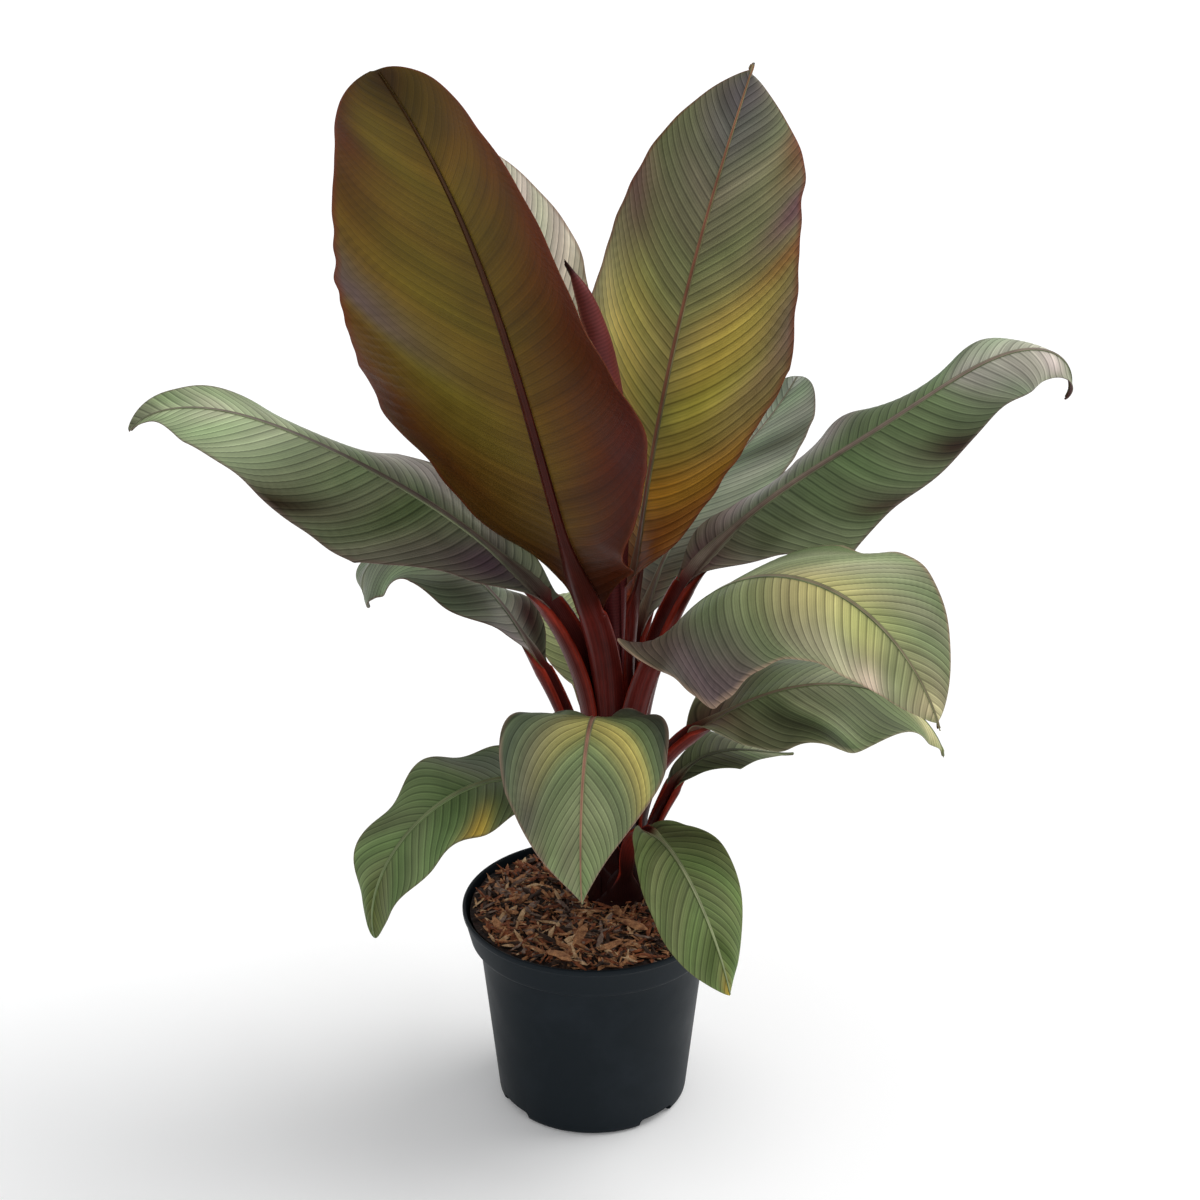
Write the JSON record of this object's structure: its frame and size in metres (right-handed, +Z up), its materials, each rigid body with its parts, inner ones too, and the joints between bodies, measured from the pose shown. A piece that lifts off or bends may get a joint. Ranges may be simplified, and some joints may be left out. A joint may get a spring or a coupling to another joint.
{
  "type": "potted red abyssinian banana plant",
  "caption": "Young red-leaved banana plant with broad paddle leaves on channelled stalks round a short false stem, in a plain dark round nursery pot topped with bark mulch.",
  "frame": {"origin": "centre of the pot's flat underside, on the ground", "axes": "+Z up the stem, +X to the right and +Y to the back as the plant is seen from its front"},
  "size_m": [0.8225, 0.5779, 1.0062],
  "materials": {
    "pot_plastic": "semi-matte moulded",
    "bark_mulch": "rough shredded",
    "stalk_skin": "smooth waxy",
    "rolled_leaf_skin": "smooth waxy",
    "leaf_skin": "satin, finely ribbed"
  },
  "bodies": {
    "root": {"bark_mulch": "bark_mulch", "blade_back_low": "leaf_skin", "blade_back_lowest": "leaf_skin", "blade_back_right": "leaf_skin", "blade_end_back_lowest": "leaf_skin", "blade_end_front": "leaf_skin", "blade_end_front_left": "leaf_skin", "blade_end_front_right": "leaf_skin", "blade_end_left_low": "leaf_skin", "blade_end_right_arching": "leaf_skin", "blade_end_right_low": "leaf_skin", "blade_front": "leaf_skin", "blade_front_left": "leaf_skin", "blade_front_right": "leaf_skin", "blade_left": "leaf_skin", "blade_left_low": "leaf_skin", "blade_right": "leaf_skin", "blade_right_arching": "leaf_skin", "blade_right_low": "leaf_skin", "blade_right_small": "leaf_skin", "blade_tall_back": "leaf_skin", "blade_tall_left": "leaf_skin", "blade_tall_right": "leaf_skin", "false_stem": "stalk_skin", "petiole_back_low": "stalk_skin", "petiole_back_lowest": "stalk_skin", "petiole_back_right": "stalk_skin", "petiole_front": "stalk_skin", "petiole_front_left": "stalk_skin", "petiole_front_right": "stalk_skin", "petiole_left": "stalk_skin", "petiole_left_low": "stalk_skin", "petiole_right": "stalk_skin", "petiole_right_arching": "stalk_skin", "petiole_right_low": "stalk_skin", "petiole_right_small": "stalk_skin", "petiole_tall_back": "stalk_skin", "petiole_tall_left": "stalk_skin", "petiole_tall_right": "stalk_skin", "pot": "pot_plastic", "rolled_leaf": "rolled_leaf_skin"}
  },
  "joints": []
}
